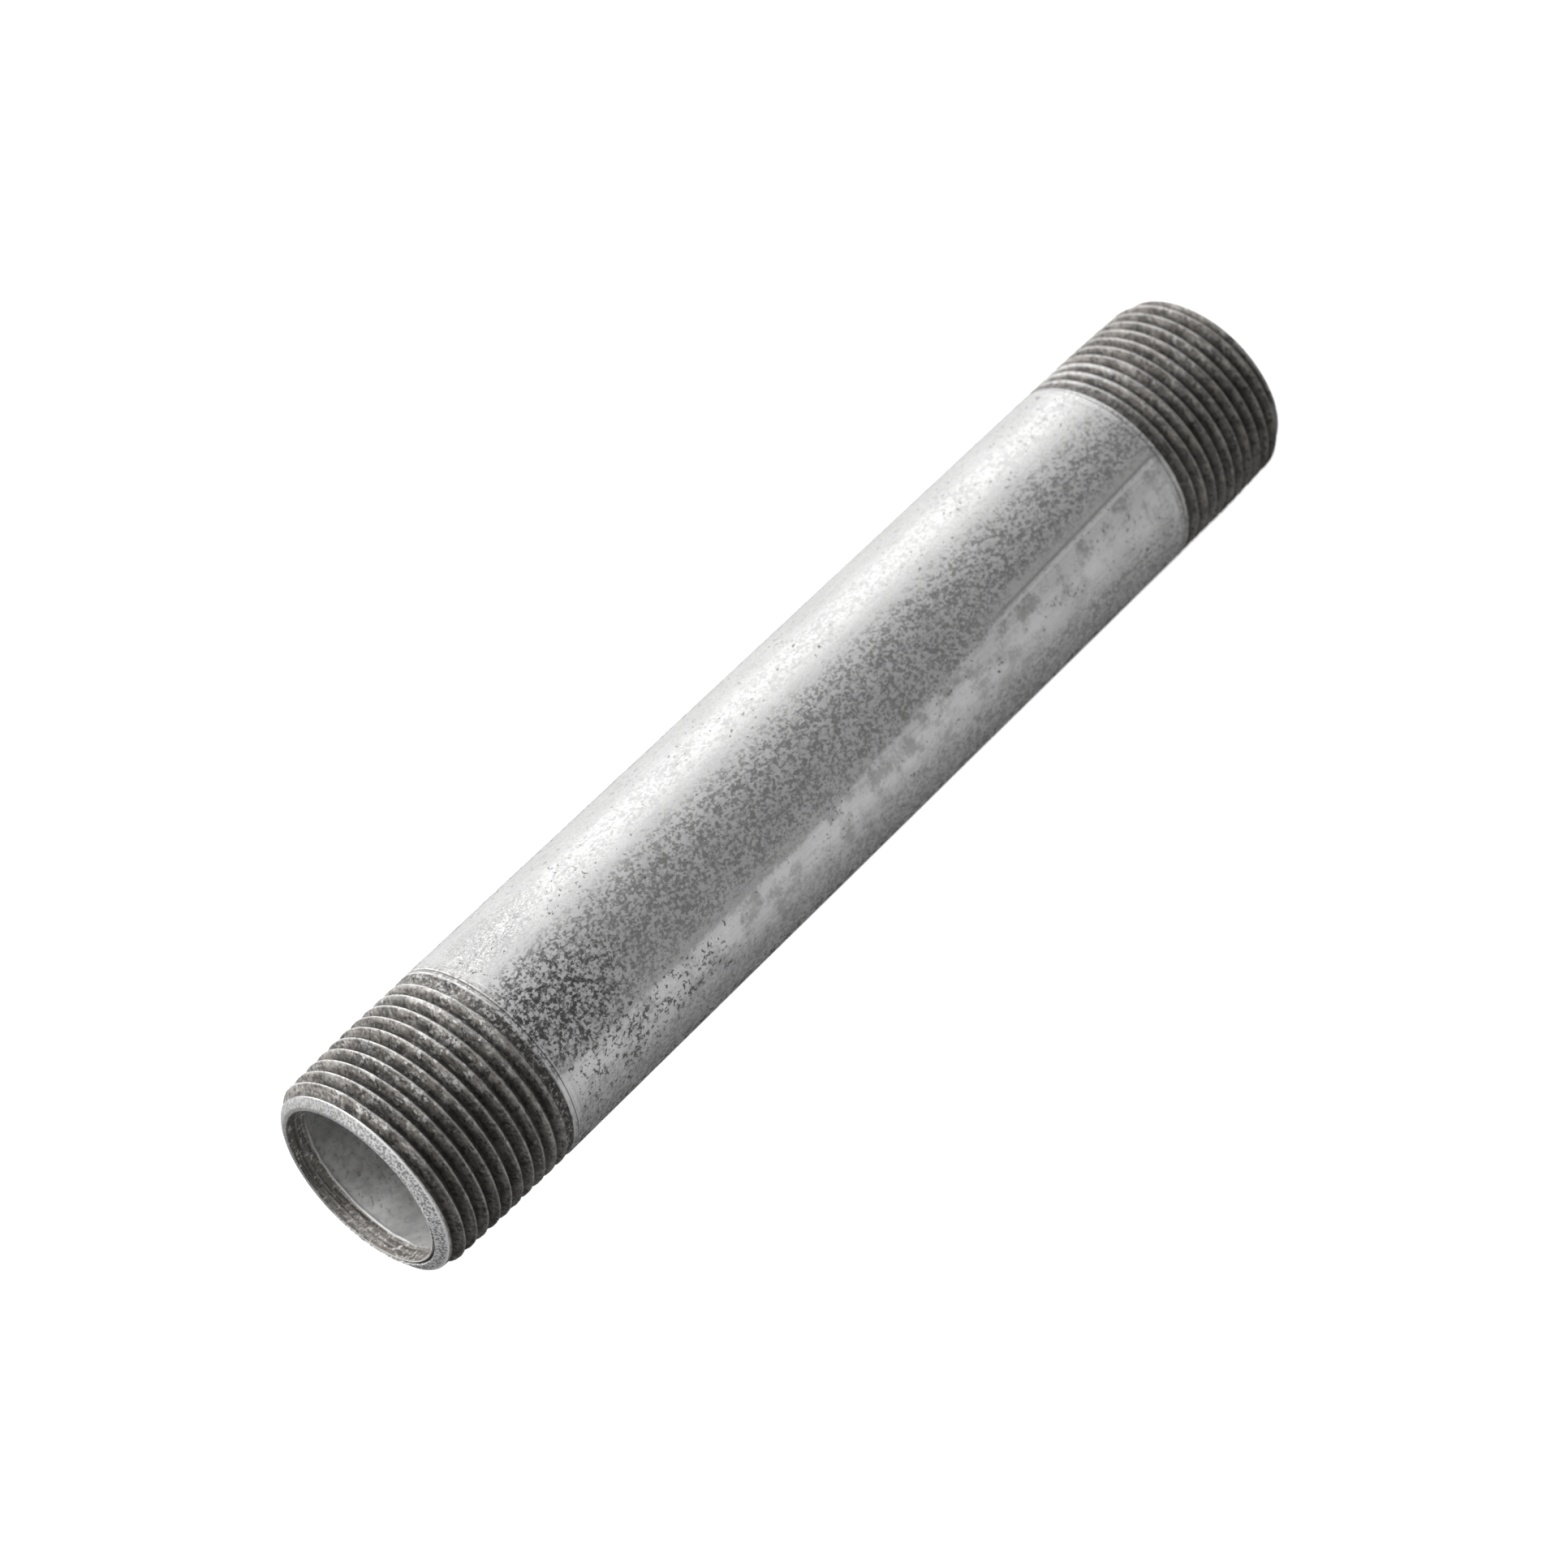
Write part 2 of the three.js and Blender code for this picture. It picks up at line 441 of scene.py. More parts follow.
def half_faces(end, radius, depth):
    """Faces of one half as vertex numbers, with a texture place for each corner."""
    number = end.alias()
    outer, inner = texture_shares(end, radius, depth)
    faces, corners = [], []
    for row in range(end.rows - 1):
        outside = row >= end.mouth_row
        for column in range(COLUMNS):
            places = ((row, column), (row, column + 1), (row + 1, column + 1), (row + 1, column))
            ids, uvs = [], []
            for r, c in places:
                v = number[r, c] if c < COLUMNS else number[end.after_seam(r), 0]
                if v in ids:
                    continue
                ids.append(int(v))
                uvs.append(texture_place(end.far, outside, outer, inner, r, c))
            if len(ids) > 2:
                faces.append(ids)
                corners.append(uvs)
    return faces, corners


def shared_vertices(rows):
    """The far half's vertices in mid-bore and mid-barrel, each with the near half's twin."""
    twins = {}
    for row in (0, rows - 1):
        for column in range(COLUMNS):
            far_vertex = (rows + row) * COLUMNS + column
            twins[far_vertex] = row * COLUMNS + (COLUMNS - column) % COLUMNS
    return twins


def joined_mesh():
    """The whole pipe: both halves, sharing the rings in the middle of barrel and bore."""
    ends = (End(far=False), End(far=True))
    positions, faces, corners, masks = [], [], [], {}
    for end in ends:
        radius, depth, end_masks = shape(end, np.random.default_rng(SEED))
        x = LENGTH / 2 - depth if end.far else depth - LENGTH / 2
        _, turn = end.place()
        angle = np.radians(turn)
        points = np.stack([x, radius * np.cos(angle), radius * np.sin(angle)], -1)
        offset = sum(len(p) for p in positions)
        positions.append(points.reshape(-1, 3))
        for name, mask in end_masks.items():
            masks.setdefault(name, []).append(mask.reshape(-1))
        end_faces, end_corners = half_faces(end, radius, depth)
        faces += [[v + offset for v in face] for face in end_faces]
        corners += end_corners
    twins = shared_vertices(ends[0].rows)
    faces = [[twins.get(v, v) for v in face] for face in faces]
    masks = {name: np.concatenate(halves) for name, halves in masks.items()}
    return np.concatenate(positions), masks, faces, corners


def build_nipple():
    """The visual mesh as a Blender object, without unused vertices."""
    points, masks, faces, corners = joined_mesh()
    used = sorted({v for face in faces for v in face})
    new_number = {old: new for new, old in enumerate(used)}
    faces = [[new_number[v] for v in face] for face in faces]
    mesh = bpy.data.meshes.new("galvanised_nipple")
    mesh.from_pydata([tuple(p) for p in points[used] * MM], [], faces)
    for name, mask in masks.items():
        attribute = mesh.attributes.new(name, "FLOAT", "POINT")
        attribute.data.foreach_set("value", mask[used].astype(np.float32))
    uv = mesh.uv_layers.new(name="OFBake")
    uv.data.foreach_set("uv", np.array([c for face in corners for c in face], np.float32).ravel())
    mesh.polygons.foreach_set("use_smooth", [True] * len(faces))
    mesh.validate()
    mesh.update()
    nipple = bpy.data.objects.new("galvanised_nipple", mesh)
    bpy.context.scene.collection.objects.link(nipple)
    return nipple


# ---------------------------------------------------------------- node trees

class Graph:
    """Short calls for building a shader node tree."""

    def __init__(self, tree):
        self.tree = tree

    def node(self, kind, **settings):
        made = self.tree.nodes.new(kind)
        for name, value in settings.items():
            setattr(made, name, value)
        return made

    def link(self, source, target):
        if hasattr(source, "is_output"):
            self.tree.links.new(source, target)
        else:
            target.default_value = source

    def math(self, operation, a, b=0.0):
        made = self.node("ShaderNodeMath", operation=operation)
        self.link(a, made.inputs[0])
        self.link(b, made.inputs[1])
        return made.outputs[0]

    def add(self, a, b):
        return self.math("ADD", a, b)

    def subtract(self, a, b):
        return self.math("SUBTRACT", a, b)

    def times(self, a, b):
        return self.math("MULTIPLY", a, b)

    def larger(self, a, b):
        return self.math("MAXIMUM", a, b)

    def distance(self, a, b):
        return self.math("ABSOLUTE", self.subtract(a, b))

    def inverse(self, share):
        return self.subtract(1.0, share)

    def mixed(self, kind, share, a, b):
        made = self.node("ShaderNodeMix", data_type=kind)
        self.link(share, made.inputs["Factor"])
        self.link(a, made.inputs["A"])
        self.link(b, made.inputs["B"])
        return made.outputs["Result"]

    def mix(self, share, a, b):
        """From colour a to colour b."""
        return self.mixed("RGBA", share, a, b)

    def blend(self, share, a, b):
        """From value a to value b."""
        return self.mixed("FLOAT", share, a, b)

    def fit(self, value, low, high, to_low=0.0, to_high=1.0):
        """Stretches low..high to to_low..to_high, and clamps."""
        made = self.node("ShaderNodeMapRange", clamp=True)
        for socket, v in zip(made.inputs, (value, low, high, to_low, to_high)):
            self.link(v, socket)
        return made.outputs[0]

    def mask(self, name):
        return self.node("ShaderNodeAttribute", attribute_name=name).outputs["Fac"]

    def noise(self, place, size, detail=3.0, roughness=0.6, distortion=0.0):
        """Noise with spots of about `size` millimetres."""
        made = self.node("ShaderNodeTexNoise")
        self.link(place, made.inputs["Vector"])
        made.inputs["Scale"].default_value = 1 / (size * MM)
        made.inputs["Detail"].default_value = detail
        made.inputs["Roughness"].default_value = roughness
        made.inputs["Distortion"].default_value = distortion
        return made.outputs["Fac"]

    def grains(self, place, size):
        """A random value from 0 to 1 for each grain of about `size` millimetres."""
        made = self.node("ShaderNodeTexVoronoi")
        self.link(place, made.inputs["Vector"])
        made.inputs["Scale"].default_value = 1 / (size * MM)
        split = self.node("ShaderNodeSeparateColor")
        self.link(made.outputs["Color"], split.inputs[0])
        return split.outputs[0]

    def stretched(self, place, along, across):
        """The place with its scale changed along the pipe's axis and across it."""
        made = self.node("ShaderNodeMapping")
        self.link(place, made.inputs["Vector"])
        made.inputs["Scale"].default_value = (along, across, across)
        return made.outputs["Vector"]

    def turned(self, place, degrees):
        """The place turned back about the pipe's axis, as separate X, Y and Z."""
        made = self.node("ShaderNodeMapping")
        self.link(place, made.inputs["Vector"])
        made.inputs["Rotation"].default_value = (-math.radians(degrees), 0, 0)
        axes = self.node("ShaderNodeSeparateXYZ")
        self.link(made.outputs["Vector"], axes.inputs[0])
        return axes.outputs


def grey(value, warmth=0.0):
    """A grey in linear light, browner as warmth grows."""
    return (value * (1 + warmth), value, value * (1 - warmth), 1)


# ---------------------------------------------------------------- material

class Surface(Graph):
    """The nipple's node tree, with the places, noises and marks that its coats share."""

    def __init__(self, tree):
        super().__init__(tree)
        self.place = self.node("ShaderNodeTexCoord").outputs["Object"]
        axes = self.turned(self.place, FRONT_TURN)
        self.along = axes["X"]
        self.around = self.times(self.math("ARCTAN2", axes["Z"], axes["Y"]), math.degrees(1))

        self.fine = self.noise(self.place, 0.28, 2, 0.6)
        self.grain = self.noise(self.place, 0.5, 3, 0.65)
        self.mottle = self.noise(self.place, 1.2, 4, 0.6, 0.3)
        self.cloud = self.noise(self.place, 6.0, 3, 0.5)
        self.flakes = self.noise(self.place, 0.6, 5, 0.7, 0.4)
        # Streaks run round the pipe, as cutting marks do
        self.streaks = self.noise(self.stretched(self.place, 1.0, 0.03), 0.22, 3, 0.6)

        self.spots = zinc_spots(self)
        self.pale = pale_reflection_side(self)
        self.dark_patch = patch(self, *DARK_PATCH)
        self.pits = pit_mask(self)
        self.seam, self.strip, self.seam_shadow_line = seam_marks(self)
        self.scratched = self.times(die_scratches(self), self.fit(self.mottle, 0.38, 0.5, 0.1, 0.9))
        rubbed = self.times(self.mask("rub"), self.fit(self.grain, 0.4, 0.5))
        self.cut = self.larger(self.mask("cut"), self.times(rubbed, 0.7))
        self.bare = self.times(self.cut, self.inverse(self.scratched))
        self.polished_and_highlit = self.times(self.mask("crest"), self.fit(self.grain, 0.38, 0.5, 0.45, 1.0))
        self.inside = self.larger(self.mask("ream"), self.mask("bore"))


def galvanised_steel():
    """Mottled zinc, threads cut to bare steel, a reamed mouth and a dull bore."""
    material = bpy.data.materials.new("galvanised_steel")
    material.use_nodes = True
    tree = material.node_tree
    tree.nodes.clear()
    s = Surface(tree)
    shader = s.node("ShaderNodeBsdfPrincipled")
    s.link(end_colour(s, barrel_colour(s)), shader.inputs["Base Color"])
    s.link(roughness(s), shader.inputs["Roughness"])
    s.link(metalness(s), shader.inputs["Metallic"])
    s.link(relief(s), shader.inputs["Normal"])
    output = s.node("ShaderNodeOutputMaterial")
    s.link(shader.outputs[0], output.inputs["Surface"])
    return material


def patch(s, depth, half_length, turn, half_turn):
    """1 in a soft-edged patch of the barrel near the -X end, 0 outside it."""
    middle = CAD_BOX[0][0] + depth * MM
    lengthways = s.math("DIVIDE", s.distance(s.along, middle), half_length * MM)
    sideways = s.math("DIVIDE", s.distance(s.around, turn), half_turn)
    away = s.add(s.math("POWER", lengthways, 2.0), s.math("POWER", sideways, 2.0))
    return s.fit(away, 0.2, 1.6, 1.0, 0.0)


def zinc_spots(s):
    """0 where the zinc is smooth and dark, 1 where it is dull and pale; drawn out lengthways."""
    fine = s.noise(s.stretched(s.place, 0.75, 1.0), 0.4, 3, 0.65)
    mixed = s.add(s.times(fine, 0.5), s.times(s.mottle, 0.35))
    mixed = s.add(mixed, s.times(s.grains(s.place, 0.3), 0.15))
    return s.fit(mixed, 0.435, 0.548)


def pale_reflection_side(s):
    """1 on the paler side of the line the zinc drained along, which runs into the weld seam; that
    side's paleness is partly a painted reflection of the bright band the studio's horizon makes
    there.
    """
    edge = s.fit(s.along, -14 * MM, 29 * MM, 29.5, 15.8)
    edge = s.add(edge, s.fit(s.along, 29 * MM, 60 * MM, 0.0, -4.4))
    wobble = s.fit(s.grain, 0.3, 0.7, -1.5, 1.5)
    past = s.subtract(s.add(s.around, wobble), edge)
    return s.times(s.fit(past, -1.0, 1.0), s.fit(past, 12.0, 40.0, 1.0, 0.0))


def evened_lit_sides(s):
    """1 on the two sides of the barrel, beside the speckled front, where the highlight and the lit
    rim fall; there the zinc is painted an even middle grey, as smooth sheen.
    """
    left = s.times(s.fit(s.around, -120, -100), s.fit(s.around, -50, -25, 1.0, 0.0))
    right = s.times(s.fit(s.around, 50, 65), s.fit(s.around, 100, 130, 1.0, 0.0))
    return s.larger(left, right)


def pit_mask(s):
    """Small ragged pits in the zinc, crowded in patches near the threads, and a few cracks."""
    patches = s.noise(s.place, 7.0, 2, 0.5)
    crowd = s.times(s.mask("worn"), s.fit(patches, 0.35, 0.6, 0.01, 0.04))
    crowd = s.add(crowd, s.fit(patches, 0.45, 0.7, -0.03, 0.02))
    crowd = s.add(crowd, s.times(s.dark_patch, 0.07))
    crowd = s.add(crowd, s.times(patch(s, *PITTED_PATCH), 0.075))
    crowd = s.subtract(crowd, s.mask("die"))
    pits = s.fit(s.subtract(s.add(crowd, 0.375), s.flakes), -0.012, 0.02)
    line = s.fit(s.distance(s.flakes, 0.5), 0.004, 0.016, 1.0, 0.0)
    cracks = s.times(line, patch(s, *CRACKED_PATCH))
    return s.larger(pits, s.times(cracks, 0.75))


def seam_marks(s):
    """The weld seam, clear only towards the +X end: a low ridge with a painted highlight, a smooth
    strip and a painted shadow line beside it.
    """
    line = s.add(s.times(s.along, SEAM_WIND / MM), SEAM_MIDDLE)
    past = s.times(s.subtract(s.around, line), math.radians(1) * OUTER_RADIUS)
    ridge = s.fit(s.distance(past, 0.0), 0.05, SEAM_HALF_WIDTH, 1.0, 0.0)
    seam_shadow_line = s.fit(s.distance(past, -0.5), 0.05, 0.3, 1.0, 0.0)
    strip = s.times(s.fit(past, -2.6, -0.9), s.fit(past, -0.4, 0.0, 1.0, 0.0))
    thread = LENGTH / 2 - THREAD_ZONE_END
    before_thread = s.fit(s.along, (thread - 1) * MM, thread * MM, 1.0, 0.0)
    shown = s.times(s.fit(s.along, 18 * MM, 28 * MM), before_thread)
    return [s.times(mark, shown) for mark in (ridge, strip, seam_shadow_line)]


def die_scratches(s):
    """Two thin bright rings left by the die, one at the end of the thread and one just past it."""
    depth = s.subtract(LENGTH / 2, s.times(s.distance(s.along, 0.0), 1 / MM))
    rings = [s.fit(s.distance(depth, at), 0.03, 0.12, 1.0, 0.0) for at in SCRATCHED_AT]
    return s.times(s.larger(*rings), s.inverse(s.mask("bore")))


def barrel_colour(s):
    """Zinc with the weld seam, its painted highlight and shadow line on it, and the threads and the
    die's marks cut through it.
    """
    colour = s.mix(s.times(s.strip, 0.6), zinc_colour(s), grey(0.88, 0.004))
    # Painted shadow line beside the seam, and a painted highlight on the seam's ridge
    colour = s.mix(s.times(s.seam_shadow_line, 0.5), colour, grey(0.3, 0.01))
    colour = s.mix(s.times(s.seam, 0.8), colour, grey(1.0))
    colour = s.mix(s.cut, colour, steel_colour(s))
    # Painted highlight: the crests and the bevel's edge lightened, most on the side towards the
    # light
    colour = s.mix(s.polished_and_highlit, colour, grey(0.85, 0.01))
    # Painted shade: the scored groove is near-black
    colour = s.mix(s.times(s.mask("shaded_score"), 0.7), colour, grey(0.08, 0.03))
    return s.mix(s.scratched, colour, grey(0.95))


def zinc_colour(s):
    """Bright zinc with fine dark spots, cloudy patches, faint lines and small dark pits; evened to
    a painted sheen on the two lit sides, and paler on one side partly as a painted reflection.
    """
    lit_sides = evened_lit_sides(s)
    darkest = s.mix(s.dark_patch, grey(0.5, 0.006), grey(0.15, 0.01))
    # Painted sheen: the spots are evened to a middle grey on the two lit sides
    darkest = s.mix(s.times(lit_sides, 0.65), darkest, grey(0.7, 0.004))
    palest = s.mix(s.dark_patch, grey(0.8, 0.003), grey(0.92))
    palest = s.mix(lit_sides, palest, grey(0.71, 0.004))
    colour = s.mix(s.spots, darkest, palest)
    # Painted reflection, in part: the zinc is paler on the side where the pipe mirrors the bright
    # horizon
    colour = s.mix(s.pale, colour, pale_zinc_and_reflection_colour(s))
    lines = s.noise(s.stretched(s.place, 0.05, 1.0), 0.35, 2, 0.5)
    tone = s.add(s.times(s.cloud, 0.5), s.times(lines, 0.5))
    colour = s.mix(s.fit(tone, 0.4, 0.6, 0.15, 0.0), colour, grey(0.3, 0.01))
    return s.mix(s.times(s.pits, 0.85), colour, grey(0.14, 0.02))


def pale_zinc_and_reflection_colour(s):
    """Paler zinc in soft blotches, fewer of them dark towards the two ends; partly a painted
    reflection of the bright horizon.
    """
    blotches = s.noise(s.place, 2.6, 3, 0.5)
    blotches = s.add(s.times(blotches, 0.6), s.times(s.grain, 0.4))
    blotches = s.add(blotches, s.fit(s.along, -55 * MM, -30 * MM, 0.04, 0.0))
    blotches = s.add(blotches, s.fit(s.along, 20 * MM, 40 * MM, 0.0, 0.03))
    return s.mix(s.fit(blotches, 0.41, 0.54), grey(0.6, 0.006), grey(1.0))


def steel_colour(s):
    """Brown-grey cut steel with torn specks and scuffs, and painted shade in the roots and the last
    turn.
    """
    rust = s.noise(s.place, 2.2, 5, 0.7)
    tone = s.add(s.times(rust, 0.4), s.times(s.streaks, 0.35))
    tone = s.add(tone, s.times(s.flakes, 0.25))
    steel = s.mix(s.fit(tone, 0.44, 0.57), grey(0.11, 0.06), grey(0.31, 0.08))
    grains = s.grains(s.stretched(s.place, 1.0, 0.6), 0.24)
    steel = s.mix(s.fit(grains, 0.24, 0.1, 0.0, 0.7), steel, grey(0.035, 0.05))
    scuffed = s.fit(s.distance(s.around, -20.0), 10.0, 38.0, 0.85, 0.25)
    scuffed = s.times(scuffed, s.fit(s.along, -30 * MM, 30 * MM, 1.0, 0.45))
    specks = s.times(s.fit(grains, 0.86, 0.95), scuffed)
    steel = s.mix(s.times(specks, 0.9), steel, grey(0.8, 0.02))
    patches = s.noise(s.place, 2.4, 8, 0.8)
    scuffs = s.times(s.fit(patches, 0.5, 0.58), s.fit(s.grain, 0.46, 0.54, 0.05, 1.0))
    steel = s.mix(s.times(scuffs, scuffed), steel, grey(0.8, 0.02))
    return steel_with_painted_shade(s, steel)


def steel_with_painted_shade(s, steel):
    """The steel with painted shade in the roots and over the vanishing turn, deeper on the side
    away from the light; the vanishing turn has pale specks too.
    """
    runout = s.mask("runout")
    # Painted shade: near-black in the thread roots and over the vanishing turn, most on the side
    # away from the light
    runout_shade = s.times(runout, s.fit(s.around, -60.0, 0.0, 0.35, 0.75))
    dark = s.larger(s.fit(s.mask("groove"), 0.25, 1.0, 0.0, 0.85), runout_shade)
    steel = s.mix(dark, steel, grey(0.03, 0.05))
    specks = s.times(runout, s.fit(s.grain, 0.52, 0.62))
    specks = s.times(specks, s.fit(s.along, -20 * MM, 20 * MM, 0.7, 0.15))
    return s.mix(specks, steel, grey(0.6))


def end_colour(s, colour):
    """The colour with the bevel and land, the mouth and its burr, the lip and the bore added."""
    # 1 on the wall that faces away from the camera, whose inside shows through the mouth; painted
    # light makes the ream and bore paler there
    far_wall_light = s.fit(s.distance(s.around, 0.0), 140.0, 165.0)
    colour = s.mix(s.mask("face"), colour, face_colour(s))
    colour = s.mix(s.mask("ream"), colour, ream_colour(s, far_wall_light))
    colour = s.mix(s.mask("bore"), colour, bore_colour(s, far_wall_light))
    colour = s.mix(s.mask("burr"), colour, grey(0.9, 0.01))
    colour = s.mix(s.mask("lip"), colour, grey(0.55, 0.05))
    # Painted shadow: the gap behind the lip is near-black
    return s.mix(s.mask("shaded_gap"), colour, grey(0.015, 0.05))


def face_colour(s):
    """Bevel and land: steel left bare by scraping, with painted light that makes one side much
    brighter, and a painted highlight on the edge.
    """
    # Painted light: the face goes from dark grey to near white round the pipe
    lit_side_of_face = s.mix(s.fit(s.around, -50.0, 40.0), grey(0.45), grey(0.98))
    face = s.mix(s.fit(s.fine, 0.4, 0.58), grey(0.25, 0.02), lit_side_of_face)
    return s.mix(s.mask("crest"), face, grey(1.0))


def ream_colour(s, far_wall_light):
    """The reamed band: dirt in the reamer's marks and a few scuffs, with painted light on the far
    wall.
    """
    palest = s.mix(far_wall_light, grey(0.34, 0.07), grey(0.48, 0.06))
    dirt = s.mix(s.fit(s.streaks, 0.38, 0.62), grey(0.1, 0.09), palest)
    dirt = s.mix(s.fit(s.fine, 0.48, 0.38, 0.0, 0.6), dirt, grey(0.06, 0.08))
    return s.mix(s.fit(s.flakes, 0.56, 0.62), dirt, grey(0.72, 0.02))


def bore_colour(s, far_wall_light):
    """Dull zinc with soft clouds and dark spots, with painted light on the far wall."""
    dull = s.mix(s.fit(s.cloud, 0.35, 0.65), grey(0.31, 0.01), grey(0.45, 0.005))
    dull = s.mix(far_wall_light, dull, grey(0.85, 0.005))
    dull = s.mix(s.fit(s.mottle, 0.6, 0.4, 0.0, 0.3), dull, grey(0.2, 0.01))
    return s.mix(s.fit(s.flakes, 0.42, 0.36, 0.0, 0.5), dull, grey(0.2, 0.02))


def roughness(s):
    """Smooth dark zinc among dull pale zinc; torn steel; smoother crests."""
    pale = s.add(s.fit(s.around, 14, 32, 0.6, 0.4), s.fit(s.grain, 0.35, 0.65, -0.08, 0.08))
    rough = s.blend(s.pale, s.blend(s.spots, 0.1, 0.64), pale)
    rough = s.blend(s.strip, rough, 0.5)
    rough = s.blend(s.pits, rough, 0.6)
    rough = s.blend(s.bare, rough, s.fit(s.mottle, 0.3, 0.7, 0.6, 0.42))
    rough = s.blend(s.polished_and_highlit, rough, 0.32)
    rough = s.blend(s.mask("face"), rough, s.fit(s.fine, 0.3, 0.7, 0.55, 0.38))
    return s.blend(s.inside, rough, s.fit(s.cloud, 0.3, 0.7, 0.6, 0.48))


def metalness(s):
    """Metal where it is clean, less so where dirt and rust cover the steel and the inside."""
    metal = s.blend(s.bare, 0.95, 0.4)
    metal = s.blend(s.polished_and_highlit, metal, 0.95)
    metal = s.blend(s.mask("face"), metal, 0.3)
    return s.blend(s.inside, metal, 0.2)


def relief(s):
    """Normals: grain everywhere, pits and the seam in the zinc, tool marks where it was cut."""
    grain = s.times(s.grain, s.add(0.01, s.times(s.mask("cut"), 0.02)))
    height = s.add(s.times(s.mottle, 0.008), grain)
    height = s.subtract(height, s.times(s.pits, 0.02))
    cutting = s.larger(s.mask("ream"), s.times(s.mask("cut"), 0.5))
    height = s.add(height, s.times(s.times(s.streaks, cutting), 0.06))
    rings = s.noise(s.stretched(s.place, 1.0, 0.004), 0.34, 1, 0.5)
    height = s.add(height, s.times(s.times(rings, s.mask("die")), 0.16))
    seam = s.times(s.seam, s.inverse(s.inside))
    height = s.add(height, s.times(seam, SEAM_HEIGHT))
    bump = s.node("ShaderNodeBump")
    bump.inputs["Distance"].default_value = MM
    s.link(height, bump.inputs["Height"])
    return bump.outputs["Normal"]


# ---------------------------------------------------------------- studio

# How bright the studio is in each direction round the pipe, in degrees from +Y towards +Z
STUDIO = (
    # The front, from the horizon down
    (-180, 0.54), (-164, 0.52), (-152, 0.4), (-138, 0.28), (-120, 0.23), (-104, 0.18),
    # A dark flag under the pipe
    (-90, 0.07), (-68, 0.04), (-56, 0.12),
    # The pale ground behind it
    (-47, 0.65), (-38, 1.0), (-22, 1.06), (-4, 1.17),
    # A large soft box behind and above it
    (8, 1.67), (28, 1.8), (42, 1.52), (54, 1.18), (64, 0.77),
    # A dim ceiling, and down to the horizon in front
    (74, 0.45), (92, 0.31), (120, 0.25), (152, 0.27), (166, 0.37), (176, 0.53), (180, 0.54))
STUDIO_PEAK = 2.0

FLOOR_SIZE = 6.0
FLOOR_GLOW = 0.93

LAMP_PLACE = Vector((-0.54, 0.84, 0.66))
LAMP_SIZE = 0.7
LAMP_POWER = 14.0


def studio_ramp(g):
    """The studio's brightness in the direction that a ray goes."""
    direction = g.node("ShaderNodeTexCoord").outputs["Generated"]
    split = g.node("ShaderNodeSeparateXYZ")
    g.link(direction, split.inputs[0])
    angle = g.math("ARCTAN2", split.outputs["Z"], split.outputs["Y"])
    made = g.node("ShaderNodeValToRGB")
    g.link(g.fit(angle, -math.pi, math.pi), made.inputs["Fac"])
    stops = made.color_ramp.elements
    stops.remove(stops[1])
    for i, (degrees, radiance) in enumerate(STUDIO):
        at = (degrees + 180) / 360
        stop = stops[0] if i == 0 else stops.new(at)
        stop.position = at
        stop.color = grey(radiance / STUDIO_PEAK)
    return made.outputs["Color"]


def studio_world():
    """Soft boxes and dark flags seen in the metal; plain white for the camera."""
    world = bpy.data.worlds.new("studio")
    world.use_nodes = True
    tree = world.node_tree
    tree.nodes.clear()
    g = Graph(tree)
    seen = g.node("ShaderNodeBackground")
    seen.inputs["Color"].default_value = grey(1.0)
    lit = g.node("ShaderNodeBackground")
    g.link(studio_ramp(g), lit.inputs["Color"])
    lit.inputs["Strength"].default_value = STUDIO_PEAK
    choose = g.node("ShaderNodeMixShader")
    g.link(g.node("ShaderNodeLightPath").outputs["Is Camera Ray"], choose.inputs[0])
    g.link(lit.outputs[0], choose.inputs[1])
    g.link(seen.outputs[0], choose.inputs[2])
    output = g.node("ShaderNodeOutputWorld")
    g.link(choose.outputs[0], output.inputs["Surface"])
    bpy.context.scene.world = world


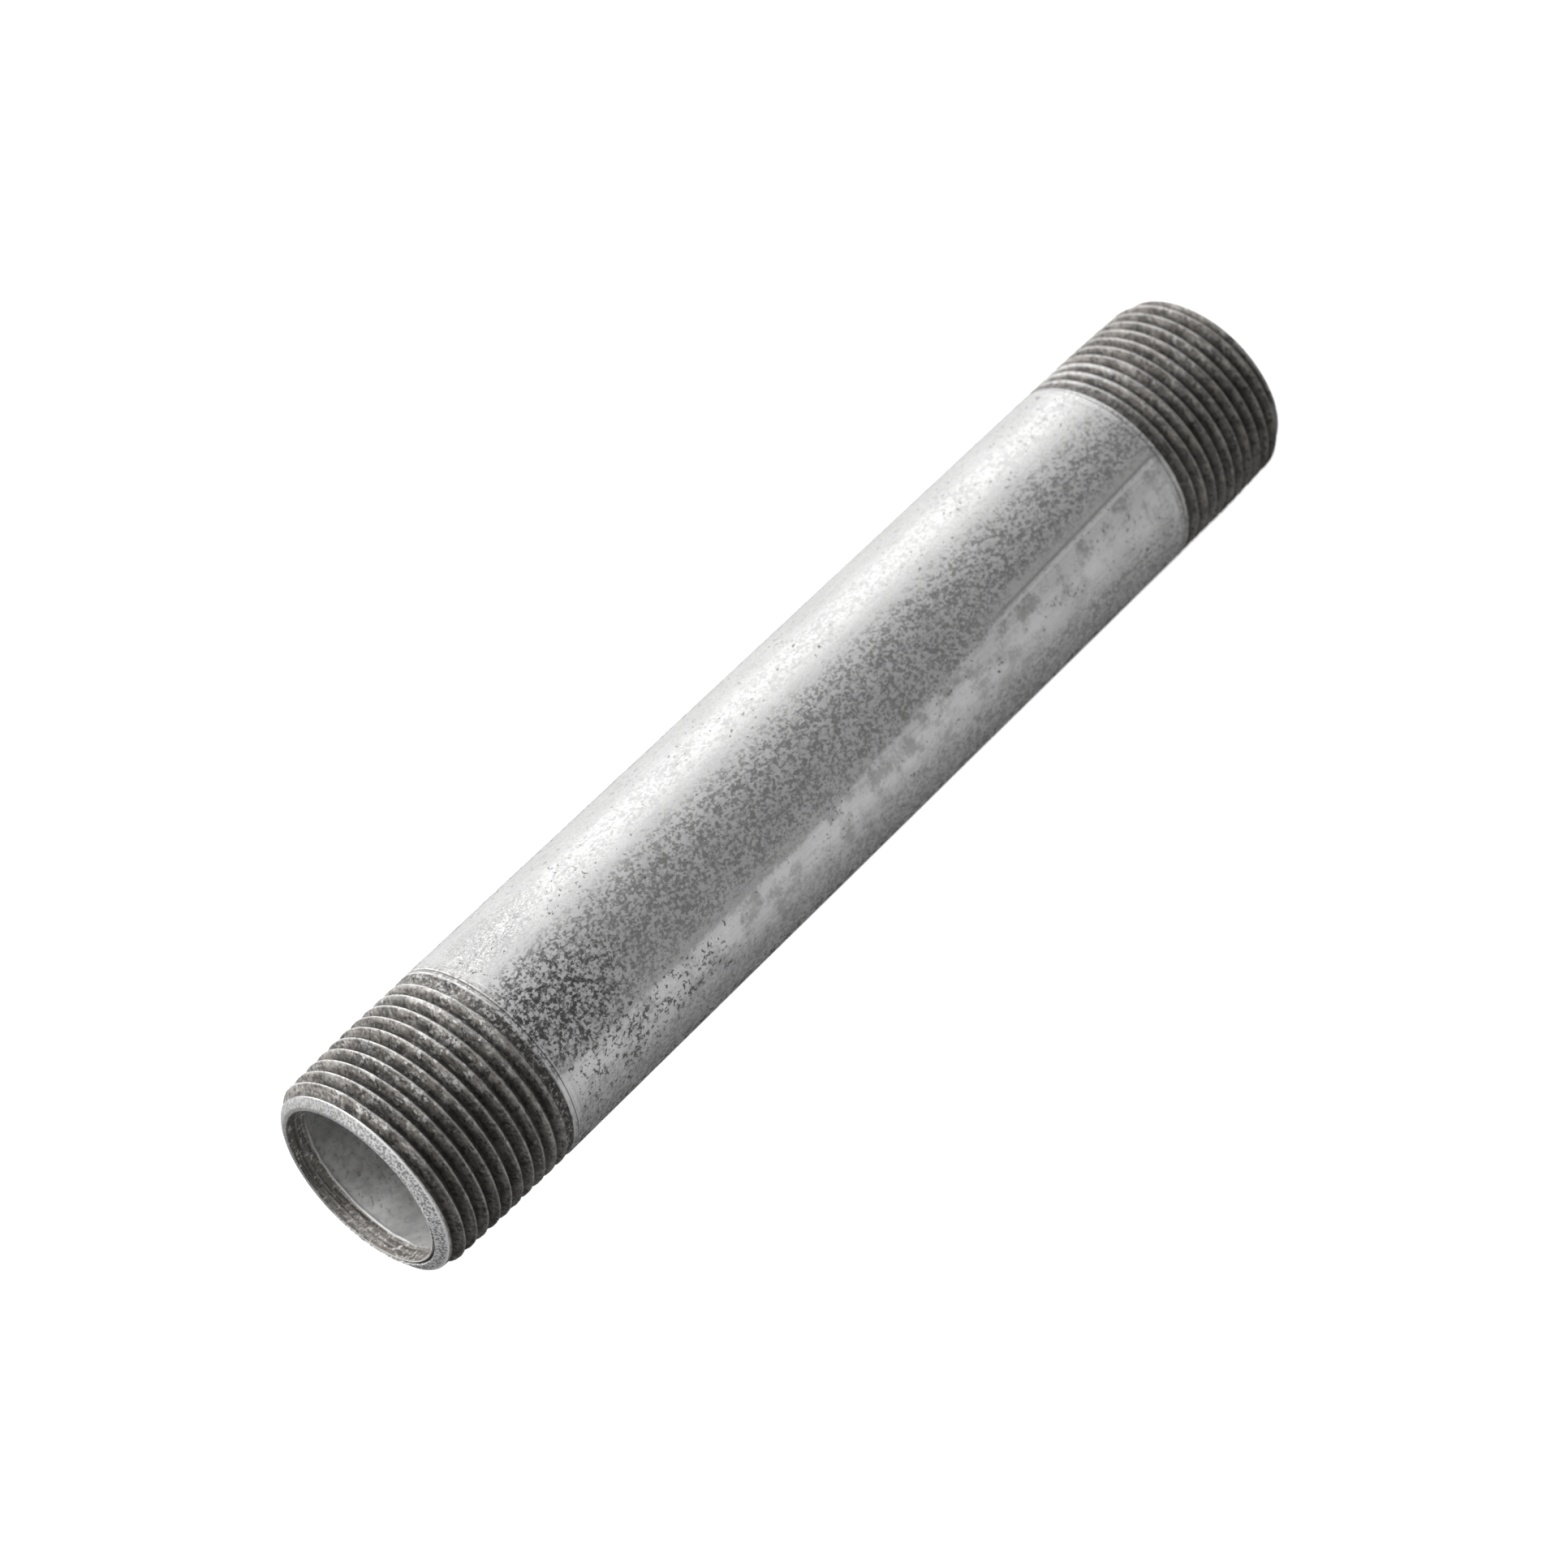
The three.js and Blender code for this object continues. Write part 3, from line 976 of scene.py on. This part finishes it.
def pale_floor():
    """A plain pale floor that the metal doesn't mirror; the world stands in for it there."""
    size = FLOOR_SIZE
    mesh = bpy.data.meshes.new("floor")
    corners = [(-size, -size, FLOOR_Z), (size, -size, FLOOR_Z),
               (size, size, FLOOR_Z), (-size, size, FLOOR_Z)]
    mesh.from_pydata(corners, [], [(0, 1, 2, 3)])
    floor = bpy.data.objects.new("floor", mesh)
    bpy.context.scene.collection.objects.link(floor)
    material = bpy.data.materials.new("floor")
    material.use_nodes = True
    shader = material.node_tree.nodes["Principled BSDF"]
    shader.inputs["Base Color"].default_value = grey(0.8)
    shader.inputs["Roughness"].default_value = 0.9
    shader.inputs["Specular IOR Level"].default_value = 0.0
    shader.inputs["Emission Color"].default_value = grey(1.0)
    shader.inputs["Emission Strength"].default_value = FLOOR_GLOW
    mesh.materials.append(material)
    floor.visible_glossy = False
    floor.visible_diffuse = False


def soft_light():
    """A wide lamp behind the pipe, on its -X side, for the floor and the dull surfaces."""
    data = bpy.data.lights.new("soft_box", "AREA")
    data.shape = "DISK"
    data.size = LAMP_SIZE
    data.energy = LAMP_POWER
    lamp = bpy.data.objects.new("soft_box", data)
    lamp.location = LAMP_PLACE
    lamp.rotation_euler = LAMP_PLACE.to_track_quat("Z", "Y").to_euler()
    lamp.visible_glossy = False
    bpy.context.scene.collection.objects.link(lamp)


# ---------------------------------------------------------------- camera

AZIMUTH = -50.38
ELEVATION = 52.45
DISTANCE = 0.5691
AIM = Vector((-0.00338, 0.0005, -0.00176))
FOCAL_LENGTH = 113.1
SENSOR_WIDTH = 36.0
F_STOP = 32.0
FOCUS_DEPTH = 22


def photo_camera():
    """A camera at the photo's viewing angle, sharp on the near end."""
    data = bpy.data.cameras.new("camera")
    data.lens = FOCAL_LENGTH
    data.sensor_width = SENSOR_WIDTH
    data.dof.use_dof = True
    data.dof.aperture_fstop = F_STOP
    camera = bpy.data.objects.new("camera", data)
    a, e = math.radians(AZIMUTH), math.radians(ELEVATION)
    back = Vector((math.sin(a) * math.cos(e), -math.cos(a) * math.cos(e), math.sin(e)))
    camera.location = AIM + back * DISTANCE
    camera.rotation_euler = (-back).to_track_quat("-Z", "Y").to_euler()
    sharpest = Vector((CAD_BOX[0][0] + FOCUS_DEPTH * MM, 0.0, OUTER_RADIUS * MM))
    data.dof.focus_distance = (sharpest - camera.location).dot(-back)
    bpy.context.scene.collection.objects.link(camera)
    bpy.context.scene.camera = camera


def main():
    nipple = build_nipple()
    nipple.data.materials.append(galvanised_steel())
    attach(nipple, "root")
    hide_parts("pipe_nipple")
    studio_world()
    pale_floor()
    soft_light()
    photo_camera()
    bpy.context.scene.view_settings.view_transform = "Standard"


main()
